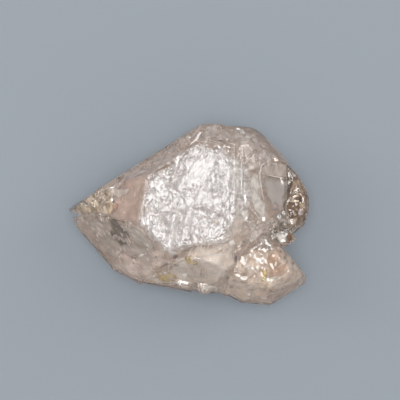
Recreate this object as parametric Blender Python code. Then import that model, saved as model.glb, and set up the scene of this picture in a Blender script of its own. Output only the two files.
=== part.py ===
"""A Herkimer diamond: clear quartz crystals grown together side by side, as one solid.

The cluster lies on the flat face at its back, with its bright front plate up. X runs along
its longest side, Y across it and Z straight up. The origin is on the resting face, under the
middle of the cluster's box.

All the crystals have the same long axis and so the same set of face directions. Each one is
a block cleaved by flat faces, given by direction and by distance from the cluster's middle.
"""

import math
import random

import bmesh
import bpy
from mathutils import Matrix, Vector

MM = 0.001
BLOCK = 120.0                # a crystal is cleaved out of a block of this size

# Habit of quartz, in degrees
AXIS_BEARING = -10.0         # the long axis in the XY plane, from +X
END_TILT = 51.8              # from the long axis to the normal of a face of a pointed end

# Driving dimensions, in millimetres, measured from the middle of the cluster
FRONT = 14.0                 # the front plate
BACK = 14.0                  # the resting face
TIP_TOP = 17.8               # the large face that slopes down to the left tip
LEFT_LOW = 16.6              # the long lower left face
UPPER_LEFT = 16.3            # the narrow band along the upper left edge
UPPER_PRISM = 21.4           # the sloping face along the top edge
LOWER_PRISM = 16.5           # the sloping face along the bottom edge
RIGHT_END = 23.35            # the steep face before the smoky right end
SMOKY_END = 25.9             # the smoky right end itself
LOWER_RIGHT = 26.6           # the outer side of the lower right crystal

LEDGE_HEIGHT = 0.35          # one growth layer on the front plate
LEDGE_PIECE = 1.1            # length of one piece of a layer's uneven outline
LEDGE_WANDER = 0.22          # how far the outline wanders to either side
RIDGE_HEIGHT = 0.45          # half the thickness of one striation
RIDGE_SUNK = 0.12            # how far the middle of a striation lies under its face
SEED = 11


def direction(bearing, tilt):
    """Unit vector by its bearing in the XY plane from +X and its tilt from +Z."""
    turn, lean = math.radians(bearing), math.radians(tilt)
    return Vector((math.sin(lean) * math.cos(turn), math.sin(lean) * math.sin(turn), math.cos(lean)))


LONG_AXIS = direction(AXIS_BEARING, 90.0)


def face(bearing, tilt, distance):
    """A flat face by the direction of its normal and its distance from the middle."""
    return direction(bearing, tilt), distance


def prism(turn, distance):
    """A prism face, parallel to the long axis and turned about it from straight up."""
    return Matrix.Rotation(math.radians(-turn), 3, LONG_AXIS) @ Vector((0.0, 0.0, 1.0)), distance


def end(side, turn, distance):
    """A face of a pointed end: side is 1 at the right end and -1 at the left."""
    outward, _ = prism(turn, 0.0)
    tilt = math.radians(END_TILT)
    return side * math.cos(tilt) * LONG_AXIS + math.sin(tilt) * outward, distance


def crystal_faces():
    """Each crystal of the cluster with the faces that bound it."""
    main = [
        prism(0, FRONT),
        prism(180, BACK),
        end(-1, 0, TIP_TOP),
        end(-1, 60, UPPER_LEFT),
        end(-1, 120, 12.5),
        face(-135.9, 52.3, LEFT_LOW),
        face(-142, 113, 23.3),
        end(-1, 180, 19.5),
        end(1, 180, 21.0),
        prism(-60, LOWER_PRISM),
        prism(-120, LOWER_PRISM),
        prism(60, UPPER_PRISM),
        prism(120, 17.0),
        face(90, 100, 18.2),
        face(0, 9, 15.45),
        face(2, 28, 18.1),
        face(5, 48, 20.3),
        face(0, 80, RIGHT_END),
        face(43, 67, 23.8),
        face(43, 113, 22.25),
        face(-82, 48, 15.4),
        face(-25.7, 21.5, 16.75),
        face(-45, 70, 18.35),
        face(-45, 115, 15.45),
        face(170, 128, 22.6),
    ]
    tip = [
        end(-1, 0, TIP_TOP + 0.5),
        face(117, 97, 13.1),
        face(-138, 55, LEFT_LOW + 1.0),
        face(-138, 113, 20.7),
        face(20, 50, -4.5),
        face(170, 128, 23.0),
        face(-110, 30, 10.8),
        face(-60, 90, -3.0),
        face(0, 90, -15.0),
        prism(180, 1.5),
    ]
    shoulder = [
        face(150, 14, 12.3),
        face(122, 72, UPPER_LEFT + 0.5),
        face(122, 112, 12.0),
        face(135, 76, 14.3),
        face(135, 108, 10.2),
        face(104, 62, 19.6),
        face(88, 75, 21.5),
        face(88, 110, 16.6),
        face(0, 60, 10.2),
        prism(180, 0.0),
        face(-90, 90, -10.0),
        face(180, 90, 4.0),
    ]
    shoulder_top = [
        prism(0, 12.3),
        face(142, 85, 10.3),
        face(85, 78, 20.3),
        face(88, 110, 16.4),
        face(-27, 85, -4.4),
        face(-90, 90, -12.0),
        prism(180, 0.0),
    ]
    smoky_end = [
        face(22, 62, 24.55),
        face(22, 115, 25.2),
        face(-3, 66, SMOKY_END),
        face(-3, 118, SMOKY_END),
        face(-27, 62, 22.5),
        face(-50, 67, 18.5),
        face(-50, 115, 19.8),
        face(43, 66, 23.0),
        face(43, 113, 22.2),
        face(180, 90, -19.5),
        end(1, 180, 21.6),
        prism(180, 12.0),
        face(0, 8, 6.0),
    ]
    lower_left = [
        end(-1, 0, TIP_TOP - 0.3),
        face(-135.9, 52.3, LEFT_LOW + 0.15),
        face(-142, 113, 23.5),
        prism(-60, LOWER_PRISM + 1.0),
        prism(-120, LOWER_PRISM + 1.0),
        face(4, 80, -12.6),
        face(90, 90, -2.0),
        face(170, 128, 22.3),
        prism(180, 8.0),
    ]
    lower_middle = [
        face(145, 68, 0.2),
        face(88, 29, 8.4),
        prism(-60, LOWER_PRISM + 0.7),
        prism(-120, LOWER_PRISM + 0.5),
        face(-8, 86, 3.4),
        face(90, 90, -7.5),
        prism(180, 11.0),
    ]
    lower_bulge = [
        face(80, 26, 8.8),
        prism(-60, LOWER_PRISM + 0.25),
        prism(-120, LOWER_PRISM + 0.2),
        face(-10, 45, 16.3),
        face(-10, 90, 13.0),
        face(180, 85, 0.5),
        face(90, 90, -7.2),
        prism(180, 10.0),
    ]
    lower_right = [
        face(38.7, 67, 11.95),
        face(38.7, 113, 9.6),
        face(-58, 62, LOWER_RIGHT),
        face(-58, 115, LOWER_RIGHT + 0.6),
        face(-95, 60, 18.65),
        face(-95, 118, 19.0),
        face(-118, 62, 12.5),
        face(-118, 115, 12.85),
        face(180, 75, -6.8),
        end(1, 180, 19.5),
        prism(180, 11.0),
        face(-62, 20, 17.4),
        face(60, 12, 8.3),
    ]
    return {
        "main": main,
        "left_tip": tip,
        "shoulder": shoulder,
        "shoulder_top": shoulder_top,
        "smoky_end": smoky_end,
        "lower_left": lower_left,
        "lower_middle": lower_middle,
        "lower_bulge": lower_bulge,
        "lower_right": lower_right,
    }


def clear_scene():
    """Removes every object that the file starts with."""
    for item in list(bpy.data.objects):
        bpy.data.objects.remove(item, do_unlink=True)


def new_collection(name):
    collection = bpy.data.collections.new(name)
    bpy.context.scene.collection.children.link(collection)
    return collection


def add_object(name, shape, collection):
    """Makes an object in metres of a shape that is in millimetres."""
    bmesh.ops.scale(shape, vec=Vector((MM, MM, MM)), verts=shape.verts)
    bmesh.ops.recalc_face_normals(shape, faces=shape.faces)
    mesh = bpy.data.meshes.new(name)
    shape.to_mesh(mesh)
    shape.free()
    item = bpy.data.objects.new(name, mesh)
    collection.objects.link(item)
    return item


def cleave(shape, faces, middle=Vector()):
    """Cuts away what lies outside each face, and closes each cut with a flat face."""
    for normal, distance in faces:
        everything = shape.verts[:] + shape.edges[:] + shape.faces[:]
        cut = bmesh.ops.bisect_plane(
            shape, geom=everything, plane_co=middle + normal * distance, plane_no=normal, clear_outer=True
        )
        rim = [part for part in cut["geom_cut"] if isinstance(part, bmesh.types.BMEdge)]
        if rim:
            bmesh.ops.edgenet_fill(shape, edges=rim)


def crystal(name, faces, collection, middle=Vector()):
    """One crystal: a block cleaved by its faces."""
    shape = bmesh.new()
    bmesh.ops.create_cube(shape, size=BLOCK)
    bmesh.ops.translate(shape, vec=middle, verts=shape.verts)
    cleave(shape, faces, middle)
    return add_object(name, shape, collection)


def small_crystal(name, place, width, length, collection):
    """A small complete crystal: a six-sided prism with a six-sided point at each end."""
    reach = length / 2 * math.cos(math.radians(END_TILT)) + width * 0.22
    faces = []
    for index in range(6):
        turn = 60 * index
        uneven = 1.0 + 0.06 * (index % 2) + 0.02 * index
        faces.append(prism(turn, width / 2 * uneven))
        faces.append(end(1, turn, reach * uneven))
        faces.append(end(-1, turn, reach * (1.12 - 0.03 * index)))
    return crystal(name, faces, collection, Vector(place))


def uneven(outline, rng):
    """The same outline with each side broken into short pieces that wander a little."""
    points = [Vector(point) for point in outline]
    wandering = []
    for start, stop in zip(points, points[1:] + points[:1]):
        pieces = max(1, round((stop - start).length / LEDGE_PIECE))
        for index in range(pieces):
            shake = Vector((rng.uniform(-1, 1), rng.uniform(-1, 1))) * LEDGE_WANDER
            wandering.append(start.lerp(stop, index / pieces) + shake)
    return wandering


def growth_layer(name, outline, collection):
    """A thin layer on the front plate, with sloping sides round an uneven outline."""
    shape = bmesh.new()
    middle = sum(outline, Vector((0.0, 0.0))) / len(outline)
    bottom = shape.faces.new([shape.verts.new((point.x, point.y, FRONT - 1.0)) for point in outline])
    top = bmesh.ops.extrude_face_region(shape, geom=[bottom])
    lifted = [part for part in top["geom"] if isinstance(part, bmesh.types.BMVert)]
    for vert in lifted:
        inward = (middle - vert.co.xy).normalized() * LEDGE_HEIGHT * 0.8
        vert.co += Vector((inward.x, inward.y, 1.0 + LEDGE_HEIGHT))
    return add_object(name, shape, collection)


def ridge(name, start, stop, height, collection):
    """A straight striation: a four-sided bar that lies half sunk in a face and thins along it."""
    along = stop - start
    shape = bmesh.new()
    bmesh.ops.create_cone(
        shape, cap_ends=True, segments=4, radius1=height, radius2=height * 0.7, depth=along.length
    )
    turn = along.to_track_quat("Z", "Y").to_matrix().to_4x4()
    bmesh.ops.transform(shape, matrix=Matrix.Translation((start + stop) / 2) @ turn, verts=shape.verts)
    return add_object(name, shape, collection)


def striation(name, prism_face, x, y, length, collection):
    """A ridge across a prism face, at right angles to the long axis, through the given X and Y."""
    normal, _ = prism_face
    half = LONG_AXIS.cross(normal).normalized() * length / 2
    middle = on_face(prism_face, x, y, RIDGE_SUNK)
    ridge(name, middle - half, middle + half, RIDGE_HEIGHT, collection)


def pit(name, place, inward, size, turn, collection):
    """A three-sided etch pit: a pyramid whose point goes inward from a face."""
    shape = bmesh.new()
    bmesh.ops.create_cone(
        shape, cap_ends=True, segments=3, radius1=size, radius2=size * 0.35, depth=size * 1.1
    )
    spin = Matrix.Rotation(math.radians(turn), 4, "Z")
    lean = inward.to_track_quat("Z", "Y").to_matrix().to_4x4()
    bmesh.ops.transform(shape, matrix=Matrix.Translation(place) @ lean @ spin, verts=shape.verts)
    return add_object(name, shape, collection)


def on_face(flat_face, x, y, depth=0.0):
    """The point of a face above or below the given X and Y, sunk by a depth."""
    normal, distance = flat_face
    z = (distance - normal.x * x - normal.y * y) / normal.z
    return Vector((x, y, z)) - normal * depth


def add_growth(collection):
    """Growth layers, striations and small crystals: all that stands out of the large faces."""
    rng = random.Random(SEED)
    layers = {
        "upper_right": [
            (-0.7, 0.2), (1.2, 0.7), (3.5, 0.9), (5.3, 0.2), (7.4, -0.9), (9.6, -2.8), (9.4, 4.4),
            (9.8, 8.0), (9.2, 11.4), (7.2, 13.2), (3.4, 13.6), (1.2, 11.2), (-1.8, 7.2), (-3.0, 4.6),
        ],
        "upper_left": [
            (-10.6, 0.4), (-9.0, -0.5), (-7.1, -0.6), (-5.1, 0.9), (-3.8, 1.6), (-3.4, 3.0), (-5.1, 4.8),
            (-6.0, 6.8), (-8.8, 7.2), (-9.7, 4.4),
        ],
        "lower_left": [
            (-10.4, -1.0), (-7.0, -1.3), (-5.2, -4.4), (-5.6, -7.4), (-6.9, -7.9), (-10.2, -3.8),
        ],
        "lower_right": [
            (2.4, -1.6), (6.2, -2.6), (9.4, -4.8), (6.4, -7.0), (1.8, -7.4), (0.9, -4.4),
        ],
    }
    for name, outline in layers.items():
        growth_layer(f"layer_{name}", uneven(outline, rng), collection)

    plate = prism(0, FRONT)
    for index, x in enumerate((-4.6, -3.1, -1.5, 0.3)):
        striation(f"plate_ridge_{index}", plate, x, -3.8 + 0.2 * index, 8.4 - 0.8 * index, collection)
    lower = prism(-60, LOWER_PRISM + 0.5)
    for index in range(4):
        striation(f"lower_ridge_{index}", lower, -4.4 + 2.4 * index, -14.2 - 0.5 * index, 5.4, collection)
    upper = prism(60, UPPER_PRISM)
    for index in range(3):
        striation(f"upper_ridge_{index}", upper, 4.6 + 2.6 * index, 17.0 - 0.3 * index, 3.2, collection)

    lower_left = face(-135.9, 52.3, LEFT_LOW)
    for index in range(6):
        x, y = -25.4 + 1.6 * index, -5.0 + 0.1 * index
        run = 5.4 + 0.8 * index
        start = on_face(lower_left, x, y, RIDGE_SUNK)
        stop = on_face(lower_left, x + run * 0.72, y - run, RIDGE_SUNK)
        ridge(f"left_ridge_{index}", start, stop, RIDGE_HEIGHT, collection)

    small = [
        ((21.3, -6.4, 4.6), 3.6, 5.4),
        ((18.6, -7.0, 2.6), 4.4, 6.0),
        ((16.0, 14.2, 6.0), 3.0, 4.6),
        ((12.6, -16.4, 6.4), 2.6, 5.0),
        ((20.8, -15.0, 5.0), 3.4, 5.0),
        ((-1.4, -17.0, 3.4), 3.0, 4.2),
        ((3.4, -18.2, 2.6), 3.4, 3.6),
        ((-21.8, 1.2, 4.4), 3.0, 5.2),
        ((14.8, -3.0, 9.2), 2.4, 3.6),
        ((-11.0, 1.0, -6.0), 11.0, 14.0),
        ((10.0, 5.4, -7.0), 10.0, 12.0),
        ((6.0, -9.6, -8.2), 8.0, 10.0),
    ]
    for index, (place, width, length) in enumerate(small):
        small_crystal(f"small_crystal_{index}", place, width, length, collection)


def add_cuts(collection):
    """Etch pits in the faces, and the open notch between the two lower crystals."""
    notch = [face(121, 84, 0.0), face(47, 84, 0.0), face(-90, 90, 6.0), prism(0, 12.0), prism(180, 12.0)]
    crystal("lower_notch", notch, collection, Vector((6.8, -19.7, 0.0)))

    rng = random.Random(SEED)
    places = [
        (prism(-60, LOWER_PRISM + 0.5), (-4.6, -14.6), 0.9),
        (prism(-60, LOWER_PRISM + 0.5), (0.8, -16.6), 0.8),
        (prism(-60, LOWER_PRISM + 0.5), (4.2, -13.6), 0.7),
        (face(-135.9, 52.3, LEFT_LOW), (-13.2, -11.8), 0.9),
        (face(-135.9, 52.3, LEFT_LOW), (-17.4, -6.8), 0.7),
        (end(-1, 0, TIP_TOP), (-15.4, 2.2), 0.5),
        (end(-1, 0, TIP_TOP + 0.5), (-22.0, 2.4), 0.7),
        (end(-1, 0, TIP_TOP + 0.5), (-24.6, 0.9), 0.5),
        (face(-25.7, 21.5, 16.75), (12.4, -3.9), 0.8),
        (face(2, 28, 18.1), (14.2, 5.6), 0.5),
        (prism(60, UPPER_PRISM), (9.8, 17.6), 0.6),
        (face(-62, 20, 17.4), (15.2, -14.2), 0.8),
        (face(-58, 62, LOWER_RIGHT), (19.8, -19.2), 0.7),
        (prism(180, BACK), (6.0, 5.0), 0.9),
        (prism(180, BACK), (-4.0, -3.0), 0.7),
    ]
    for index, (flat_face, (x, y), size) in enumerate(places):
        normal, _ = flat_face
        pit(f"pit_{index}", on_face(flat_face, x, y), -normal, size, rng.uniform(0, 120), collection)


def combine(item, operation, tools):
    """Joins or cuts an object with each of the tools in turn."""
    for tool in tools:
        modifier = item.modifiers.new(f"{operation.lower()}_{tool.name}", "BOOLEAN")
        modifier.operation = operation
        modifier.object = tool
        modifier.solver = "EXACT"


def quartz_material():
    """Clear quartz with a faint warm tint."""
    material = bpy.data.materials.new("clear_quartz")
    material.use_nodes = True
    shader = material.node_tree.nodes["Principled BSDF"]
    shader.inputs["Base Color"].default_value = (0.93, 0.87, 0.81, 1.0)
    shader.inputs["Roughness"].default_value = 0.04
    shader.inputs["Metallic"].default_value = 0.0
    shader.inputs["Transmission Weight"].default_value = 1.0
    shader.inputs["IOR"].default_value = 1.544
    return material


def stand_on_origin(item, base):
    """Moves the base so that the finished crystal's box stands on the origin."""
    bpy.context.view_layer.update()
    finished = item.evaluated_get(bpy.context.evaluated_depsgraph_get())
    corners = [finished.matrix_world @ Vector(corner) for corner in finished.bound_box]
    low = Vector(min(corner[i] for corner in corners) for i in range(3))
    high = Vector(max(corner[i] for corner in corners) for i in range(3))
    base.location = Vector((-(low.x + high.x) / 2, -(low.y + high.y) / 2, -low.z))
    bpy.context.view_layer.update()


def main():
    clear_scene()
    finished = new_collection("herkimer_diamond")
    grown = new_collection("grown_on")
    cuts = new_collection("cut_out")

    crystals = crystal_faces()
    cluster = crystal("crystal", crystals.pop("main"), finished)
    cluster.data.materials.append(quartz_material())
    for name, faces in crystals.items():
        crystal(name, faces, grown)
    add_growth(grown)
    add_cuts(cuts)

    base = bpy.data.objects.new("base", None)
    finished.objects.link(base)
    cluster.parent = base
    for item in list(grown.objects) + list(cuts.objects):
        item.parent = base
        item.hide_render = True
        item.display_type = "WIRE"
    combine(cluster, "UNION", grown.objects)
    combine(cluster, "DIFFERENCE", cuts.objects)
    stand_on_origin(cluster, base)


main()
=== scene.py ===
"""Looks of the Herkimer diamond: etched quartz skin, inner veils, stains and smoky flakes."""

import math
import random

import bmesh
import bpy
import numpy as np
from mathutils import Matrix, Vector, geometry, kdtree, noise
from mathutils.bvhtree import BVHTree


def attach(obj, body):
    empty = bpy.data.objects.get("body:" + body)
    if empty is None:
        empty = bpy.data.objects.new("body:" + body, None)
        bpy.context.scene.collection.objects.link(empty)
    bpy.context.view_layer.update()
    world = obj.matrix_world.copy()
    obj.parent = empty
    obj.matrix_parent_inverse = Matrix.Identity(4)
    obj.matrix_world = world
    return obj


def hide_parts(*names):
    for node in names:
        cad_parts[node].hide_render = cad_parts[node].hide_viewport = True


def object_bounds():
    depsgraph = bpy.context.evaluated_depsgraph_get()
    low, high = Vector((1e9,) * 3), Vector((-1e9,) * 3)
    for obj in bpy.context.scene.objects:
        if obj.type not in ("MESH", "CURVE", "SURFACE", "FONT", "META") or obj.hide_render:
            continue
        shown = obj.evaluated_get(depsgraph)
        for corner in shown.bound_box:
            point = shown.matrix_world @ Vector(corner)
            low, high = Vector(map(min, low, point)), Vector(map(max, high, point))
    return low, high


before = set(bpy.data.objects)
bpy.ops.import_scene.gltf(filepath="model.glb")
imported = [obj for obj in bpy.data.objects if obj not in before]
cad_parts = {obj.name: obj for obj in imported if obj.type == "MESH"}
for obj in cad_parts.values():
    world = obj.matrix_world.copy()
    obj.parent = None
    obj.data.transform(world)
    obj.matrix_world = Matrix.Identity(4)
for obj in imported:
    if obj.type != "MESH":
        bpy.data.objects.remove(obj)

CAD_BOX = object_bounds()
MM = 0.001
INDEX = 1.544                # refractive index of quartz

# Framing of the photograph, in millimetres
CAMERA_HEIGHT = 314.0        # above the resting face
FRAME_WIDTH = 96.67          # width of the view at the cluster's middle height
MIDDLE_HEIGHT = 14.0
VIEW_CENTRE = (2.6, 3.7)     # the picture's centre, from the origin
SENSOR = 36.0

# Fineness of the skin, in millimetres
PLATE_STEP = 0.14
FRONT_STEP = 0.32
BACK_STEP = 0.6
BEVEL = 0.14                 # width of the worn band along each edge
SAME_PLACE = 0.002           # points closer than this are one
FLAT_ANGLE = math.radians(0.6)       # neighbours that meet more flatly are one facet
EDGE_ANGLE = math.radians(1.0)       # a sharper meeting is an edge that wears
MARK_GAP = 0.12              # between the points that stand for the edges
PLATE_HEIGHT = 27.6          # faces that look up from above this are the front plate
NET_DEPTH = 0.055            # of the plate's etched grooves
PLATE_FALL = 0.17            # how steeply the plate falls away around its level part
FALL_WIDTH = 2.2
LEAST_WEAR = 0.02            # along every edge
MORE_WEAR = 0.05             # where an edge is worn most
CHIP_DEPTH = 0.16
RELIEF_EDGE = 0.7            # the relief is whole from here on inwards of an edge
FACET_LIMIT = 0.4            # most height of a small facet
STEEPEST = 4.5               # a veil is left open where it would be steeper than this
SEED = 7

# Fineness and depth of what lies inside, in millimetres
VEIL_STEP = 0.4
MARK_STEP = 0.25
MARK_WAVE = 0.2              # waviness of a small mark
LINE_DEPTH = 0.3
FLECK_SCALE = 0.8            # patches per millimetre in the tone of a flake

# The quartz
ABSORPTION_COLOUR = (0.935, 0.88, 0.82, 1.0)
ABSORPTION_DENSITY = 20.0
GRAIN_SCALE = 2.0            # per millimetre
GRAIN_STRENGTH = 0.12
BUMP_HEIGHT = 0.00003        # in metres
# dark tint of the plate's etched lines: painted shade in the grooves
GROOVE_SHADE_TINT = (0.22, 0.20, 0.23, 1.0)
ETCHED_NETS = ((0.52, 0.5, 0.035), (0.95, 0.8, 0.032))     # cells per millimetre, squeeze, width
WORM_WIDTH = 0.007
WAVER = 1.1                  # how far the etched lines waver, in millimetres
WAVER_SCALE = 1.1            # per millimetre

# Ground and light. Places and sizes are in metres
GROUND_COLOUR = (0.178, 0.206, 0.236, 1.0)
GROUND_HALF_SIZE = 1.5
GROUND_GAP = 0.0003
ROOM_COLOUR = (1.0, 0.93, 0.87, 1.0)
ROOM_BRIGHTNESS = 0.84
SIDE_COLOUR = (1.0, 0.95, 0.92)
SOFTBOXES = [                # name, place, size, brightness, colour
    ("overhead_softbox", (0.0, 0.02, 0.75), (0.32, 0.32), 12.5, (0.95, 0.98, 1.0)),
    ("left_softbox", (-0.55, 0.15, 0.40), (0.30, 0.45), 4.0, SIDE_COLOUR),
    ("right_softbox", (0.55, 0.25, 0.45), (0.30, 0.45), 4.0, SIDE_COLOUR),
]

# The front plate, in millimetres from the origin
BRIGHT_PATCH = [             # outline of the level part, which shines
    (-9.0, 9.1), (-7.4, 9.1), (-5.6, 6.8), (-3.1, 6.3), (-1.2, 7.3), (-1.2, 11.0), (-0.1, 13.7), (0.6, 15.8),
    (3.6, 16.0), (6.2, 15.1), (8.5, 13.5), (9.4, 11.4), (9.2, 8.2), (10.1, 2.9), (11.2, 0.6), (9.8, -2.9),
    (8.0, -5.2), (5.9, -5.9), (2.5, -6.3), (0.4, -7.7), (-2.1, -8.6), (-4.4, -8.6), (-6.3, -7.2),
    (-11.3, -1.9), (-10.7, 1.7), (-9.5, 5.9),
]
BRIGHT_STRIPS = [            # narrow level strips beside it
    [(-1.2, 15.2), (-1.9, 14.9), (-3.2, 11.8), (-2.5, 11.5)],
    [(-2.9, 10.6), (-3.3, 10.4), (-4.0, 7.7), (-3.3, 7.5)],
]
GROOVES = [                  # path, half width, depth
    ([(-4.9, 0.6), (-3.7, 0.8), (-2.6, 0.6), (-0.8, 1.5), (0.9, 1.3), (2.2, 1.7), (3.9, 2.0), (5.0, 1.3),
      (6.9, -0.1), (8.5, -0.8), (9.6, -1.9)], 0.24, 0.22),
    ([(-10.7, 1.3), (-9.0, 1.5), (-7.4, 1.0), (-6.5, 0.4), (-5.4, -1.9), (-4.2, -3.8)], 0.16, 0.10),
    ([(0.6, 0.6), (0.4, -1.5), (1.1, -3.3), (1.1, -6.1)], 0.13, 0.10),
    ([(-2.6, -1.5), (-2.1, -3.3), (-3.1, -5.2), (-2.6, -7.9)], 0.12, 0.08),
    ([(-3.7, -4.2), (-4.0, -6.3), (-3.5, -8.6)], 0.12, 0.08),
    ([(2.9, -1.5), (3.2, -3.8), (2.7, -5.6)], 0.11, 0.08),
    ([(-3.7, 11.6), (-4.2, 9.3), (-5.1, 6.6)], 0.45, 0.16),
    ([(-1.2, 11.0), (-1.9, 9.1), (-2.6, 7.0)], 0.40, 0.16),
]
SMOOTH_PATCH = (1.9, 10.5, 2.7)     # middle and radius of the smooth place in the plate

# Places of the stone's features, as flat outlines in millimetres from the origin

WHOLE = [(-30.0, -23.0), (30.0, -23.0), (30.0, 23.0), (-30.0, 23.0)]
BODY = [
    (-24.0, 2.0), (-13.0, 9.5), (0.0, 17.5), (6.0, 20.0), (14.0, 18.0), (21.0, 11.0), (22.0, 2.0),
    (19.0, -5.0), (24.0, -10.0), (26.0, -14.0), (18.0, -19.0), (9.0, -19.0), (-4.0, -16.0),
    (-13.0, -15.0), (-22.0, -6.0),
]
PLATE = [
    (-9.4, 9.6), (-4.0, 12.6), (0.6, 16.6), (8.0, 15.8), (14.0, 12.0), (15.0, 4.0), (13.0, -2.0), (9.0, -6.0),
    (0.4, -8.4), (-4.8, -9.2), (-11.6, -1.9), (-10.7, 1.7),
]
PINK_FACET = [
    (-8.6, 10.6), (-9.2, 6.0), (-10.6, 1.7), (-11.2, -2.6), (-16.8, -1.2), (-19.6, 1.0), (-18.0, 6.0),
    (-13.9, 9.6),
]
UPPER_BAND = [
    (-21.3, 4.6), (-18.4, 6.8), (-14.1, 10.6), (-6.9, 14.8), (-1.2, 18.3), (2.5, 20.6), (2.2, 17.7),
    (-1.0, 15.4), (-4.1, 11.9), (-9.4, 9.8), (-12.9, 8.2), (-17.0, 6.0), (-20.3, 3.7),
]
LEFT_TIP = [
    (-28.6, 1.3), (-25.2, 4.4), (-21.6, 5.9), (-18.0, 7.0), (-17.2, 3.7), (-18.7, 0.3), (-22.8, 0.1),
    (-26.8, 0.4),
]
LOWER_LEFT = [
    (-26.6, 0.1), (-22.6, 0.1), (-17.8, -0.5), (-12.3, -2.0), (-9.4, -5.9), (-7.0, -8.8), (-7.5, -13.1),
    (-11.5, -15.6), (-17.1, -13.0), (-21.4, -7.1), (-24.8, -2.3),
]
LOWER_BODY = [
    (-11.3, -15.9), (-7.0, -13.0), (-2.2, -9.5), (2.3, -6.8), (6.1, -6.6), (10.2, -4.0), (11.6, -5.9),
    (10.2, -11.1), (7.8, -15.4), (3.7, -17.8), (0.2, -16.9), (-4.6, -16.4),
]
TOP_BAND = [
    (2.0, 20.4), (6.0, 21.4), (14.0, 20.0), (19.0, 15.6), (22.0, 11.6), (13.0, 10.0), (11.0, 16.4),
    (3.0, 17.0),
]
BROWN_END = [
    (23.6, 12.5), (26.4, 11.6), (28.6, 8.6), (29.2, 4.9), (28.8, 1.3), (27.9, -2.4), (26.0, -6.0),
    (22.8, -6.4), (23.5, 0.1), (24.0, 4.9),
]
LOWER_RIGHT = [
    (15.0, -7.6), (20.6, -7.1), (24.2, -9.5), (27.3, -13.6), (25.4, -16.4), (19.4, -18.8),
    (14.6, -20.3), (9.8, -20.0), (7.6, -16.7), (10.6, -10.4),
]
ORANGE = [(18.3, -8.4), (21.4, -7.4), (23.9, -10.8), (23.1, -14.4), (19.0, -14.7), (17.6, -11.3)]
RIGHT_MIDDLE = [
    (12.0, -1.0), (15.0, 0.6), (18.8, -1.0), (21.6, -4.4), (19.0, -7.4), (14.8, -7.8), (11.6, -5.0),
]
STAIN_SPECKLED = [(-1.7, -9.4), (0.2, -8.9), (2.7, -9.9), (2.3, -11.7), (-0.5, -11.5)]
STAIN_CORNER = [(-10.2, -16.3), (-8.8, -14.5), (-7.2, -16.2)]
STAIN_GROUND = [(-8.2, -13.6), (-5.1, -12.4), (-2.5, -13.4), (-2.8, -16.3), (-7.0, -16.1)]
STAIN_RIGHT = [(17.0, -11.8), (18.9, -13.1), (18.4, -16.8), (17.0, -18.3), (16.3, -15.1)]
WINDOW = [(17.9, 9.4), (23.4, 9.2), (23.4, 6.1), (22.3, 1.3), (19.1, 0.6), (17.7, 3.7)]
UPPER_STRIP = [
    (-14.0, 11.2), (-6.9, 15.4), (-1.2, 18.9), (2.5, 21.0), (2.6, 17.0), (-1.0, 15.0), (-4.1, 11.6),
    (-9.2, 9.6),
]
TOP_SPARKLE = [(9.0, 20.8), (16.0, 19.6), (17.4, 16.2), (12.0, 16.0), (8.4, 18.0)]
RIGHT_SPARKLE = [(19.4, -0.6), (22.6, 0.8), (23.4, -3.4), (21.6, -7.6), (19.0, -6.0)]
LOWER_SPARKLE = [(14.4, -9.0), (17.4, -8.6), (18.4, -12.6), (14.8, -13.4)]

# Smaller marks, as flat outlines and paths in pixels of the photograph's 400 x 400 frame

PIXEL_MIDDLE = (190.0, 209.0)        # the pixel that sees the middle below
PIXEL_SIZE = 0.2376                  # in millimetres, at the height of the marks
MIDDLE_SEEN = (0.17, 1.51)

RUSSET_SPOT = [(113, 201), (121, 202), (121, 210), (116, 213), (112, 208)]
OCHRE_SPOT = [(109, 199), (114, 198), (116, 206), (113, 215), (108, 214)]
UMBER_SPOT = [(122, 200), (128, 199), (129, 204), (123, 205)]
TIP_BLOCK = [(95, 190), (112, 187), (134, 188), (134, 193), (120, 199), (98, 199)]
MOSS_HIGH = [(106, 217), (117, 217), (123, 226), (120, 231), (110, 227)]
MOSS_LOW = [(111, 227), (122, 224), (131, 232), (133, 241), (122, 247), (113, 239)]
SLATE_FACET = [(121, 221), (139, 225), (160, 246), (150, 250), (137, 238), (128, 231)]
BEIGE_LOW = [
    (112, 252), (124, 246), (136, 250), (150, 258), (160, 268), (152, 282), (136, 285), (121, 275),
]
BROWN_COLUMN = [(286, 180), (292, 179), (293, 190), (291, 200), (292, 216), (287, 219), (284, 205)]
BROWN_SMOOTH = [(285, 203), (300, 203), (301, 214), (292, 219), (286, 217)]
LILAC_PATCH = [(300, 206), (308, 205), (309, 219), (303, 222), (299, 214)]
BEIGE_RIGHT = [(289, 217), (305, 219), (304, 225), (287, 225)]
CHESTNUT_LOW = [(285, 226), (304, 226), (299, 231), (291, 238), (285, 244)]
OLIVE_EDGE = [(287, 161), (293, 165), (296, 172), (294, 179), (288, 179)]
GOLD_PATCH = [(296, 188), (300, 189), (300, 195), (296, 194)]
VIOLET_SPOT = [(269, 203), (276, 199), (281, 204), (279, 212), (271, 212)]
UPPER_BLOCK = [(259, 166), (270, 160), (287, 163), (288, 179), (274, 177), (259, 174)]
GREEN_LENS = [
    (247, 177), (257, 174), (260, 189), (262, 200), (263, 210), (265, 222), (257, 215), (250, 206),
    (247, 197),
]
GREY_LENS = [(231, 158), (240, 160), (241, 175), (241, 190), (234, 186), (231, 172)]
PALE_LENS = [(202, 291), (204, 284), (219, 286), (222, 290), (214, 294), (205, 294)]
PALE_BAND = [(265, 276), (281, 274), (302, 274), (300, 279), (282, 278), (273, 282), (266, 282)]
CORAL_STRIP = [(266, 268), (272, 270), (283, 271), (282, 274), (266, 276)]
OLIVE_STAIN = [(260, 268), (265, 268), (266, 280), (262, 288), (259, 287), (261, 278)]
LOW_SLOPE = [
    (148, 247), (162, 247), (172, 255), (186, 252), (199, 243), (186, 254), (170, 265), (157, 273),
    (150, 268),
]
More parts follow.
